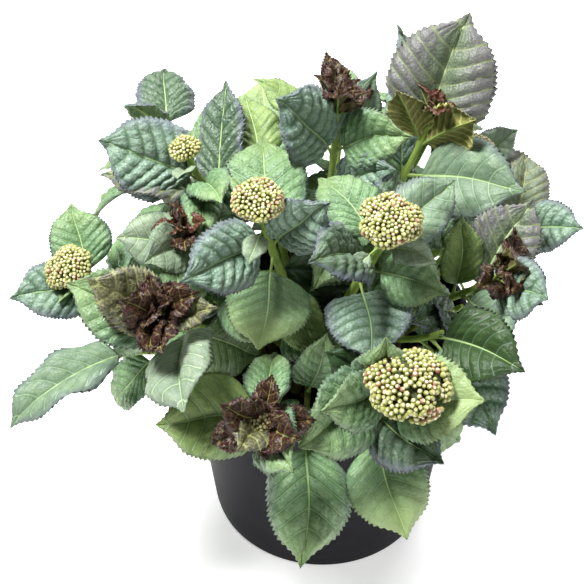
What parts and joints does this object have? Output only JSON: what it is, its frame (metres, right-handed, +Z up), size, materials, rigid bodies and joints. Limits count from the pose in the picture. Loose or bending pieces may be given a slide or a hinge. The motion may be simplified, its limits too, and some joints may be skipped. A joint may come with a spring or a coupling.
{
  "type": "hydrangea shrub",
  "caption": "Potted bigleaf hydrangea in bud: canes from a round nursery pot carry pairs of broad ribbed leaves, flat heads of small buds and tufts of maroon young leaves",
  "frame": {"origin": "middle of the pot's flat underside, on the ground", "axes": "+Z up, -Y towards the side usually shown, +X to the right of that side"},
  "size_m": [0.4971, 0.4959, 0.5107],
  "materials": {
    "pot_plastic": "black satin nursery plastic",
    "compost": "moist potting compost, matt",
    "cane": "green young cane, satin",
    "foliage": "quilted blue-green leaf, satin",
    "foliage_young": "maroon young leaves above green leaves, satin"
  },
  "bodies": {
    "root": {"cane_a": "cane", "cane_b": "cane", "cane_c": "cane", "cane_d": "cane", "cane_e": "cane", "cane_g": "cane", "cane_h": "cane", "cane_i": "cane", "cane_j": "cane", "cane_k": "cane", "cane_l": "cane", "cane_m": "cane", "cane_n1": "cane", "cane_n2": "cane", "cane_p": "cane", "cane_q": "cane", "cane_r": "cane", "cane_s": "cane", "cane_t": "cane", "cane_u": "cane", "cane_v": "cane", "cane_w": "cane", "cane_y1": "cane", "cane_y2": "cane", "cane_y3": "cane", "cane_y4": "cane", "cane_y5": "cane", "cane_y6": "cane", "cane_y7": "cane", "compost": "compost", "foliage_a": "foliage", "foliage_b": "foliage", "foliage_c": "foliage", "foliage_d": "foliage", "foliage_e": "foliage_young", "foliage_g": "foliage_young", "foliage_h": "foliage_young", "foliage_i": "foliage", "foliage_j": "foliage_young", "foliage_k": "foliage", "foliage_l": "foliage_young", "foliage_m": "foliage_young", "foliage_n1": "foliage", "foliage_n2": "foliage", "foliage_p": "foliage", "foliage_q": "foliage", "foliage_r": "foliage", "foliage_s": "foliage", "foliage_t": "foliage", "foliage_u": "foliage", "foliage_v": "foliage", "foliage_w": "foliage", "foliage_y1": "foliage", "foliage_y2": "foliage", "foliage_y3": "foliage", "foliage_y4": "foliage", "foliage_y5": "foliage", "foliage_y6": "foliage", "foliage_y7": "foliage", "pot": "pot_plastic"}
  },
  "joints": []
}
